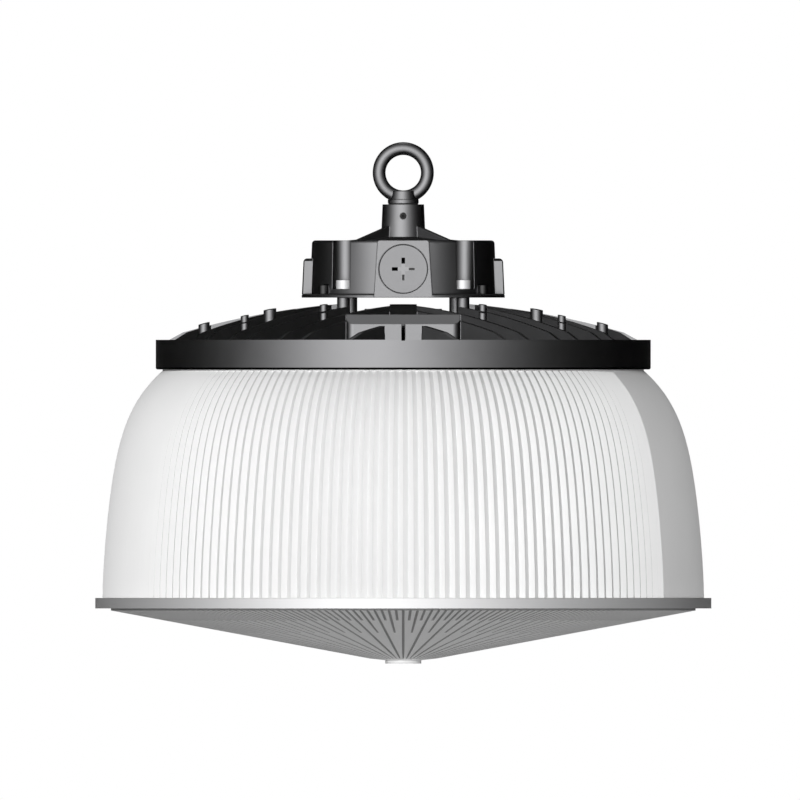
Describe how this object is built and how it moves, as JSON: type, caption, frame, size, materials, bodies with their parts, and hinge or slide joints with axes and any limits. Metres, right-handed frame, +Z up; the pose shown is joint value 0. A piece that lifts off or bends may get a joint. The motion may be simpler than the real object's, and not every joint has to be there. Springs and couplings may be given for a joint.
{
  "type": "high bay light",
  "caption": "Pendant round LED high bay light: black driver box on an eye bolt, finned heat sink, fluted clear refractor dome and conical prismatic lens.",
  "frame": {"origin": "centre of the eye that the light hangs from", "axes": "+Z up, along the light's own axis; the cable entry faces -Y; the eye's hole runs along Y"},
  "size_m": [0.4107, 0.4108, 0.3477],
  "materials": {
    "black_casting": "satin black powder coat",
    "eye_steel": "satin black coat",
    "zinc_steel": "zinc plated",
    "black_plastic": "matte black",
    "white_plastic": "matte white",
    "seal_rubber": "matte rubber",
    "driver_potting": "potting resin",
    "board_white": "white solder mask",
    "led_phosphor": "phosphor",
    "clear_glass": "clear",
    "clear_prism": "prismatic clear acrylic",
    "ring_aluminium": "satin"
  },
  "bodies": {
    "root": {"eye_bolt": "eye_steel", "eye_washer": "seal_rubber", "eye_nut": "zinc_steel", "eye_set_screw": "eye_steel", "driver_housing": "black_casting", "cable_entry_plug": "black_plastic", "plug_seal": "seal_rubber", "base_plate_gasket": "seal_rubber", "driver_base_plate": "black_casting", "base_plate_screws": "zinc_steel", "driver_module": "driver_potting", "terminal_block": "white_plastic", "lead_grommet": "seal_rubber", "driver_screws": "zinc_steel", "standoff_posts": "black_casting", "heat_sink": "black_casting", "lead_seal": "seal_rubber", "led_board": "board_white", "led_chips": "led_phosphor", "led_board_screws": "zinc_steel", "lens_gasket": "seal_rubber", "lens_plate": "clear_glass", "lens_ring": "black_casting", "lens_ring_screws": "zinc_steel", "refractor_dome": "clear_prism", "refractor_screws": "zinc_steel", "retaining_ring": "ring_aluminium", "ring_gasket": "seal_rubber", "cone_lens": "clear_prism"}
  },
  "joints": []
}
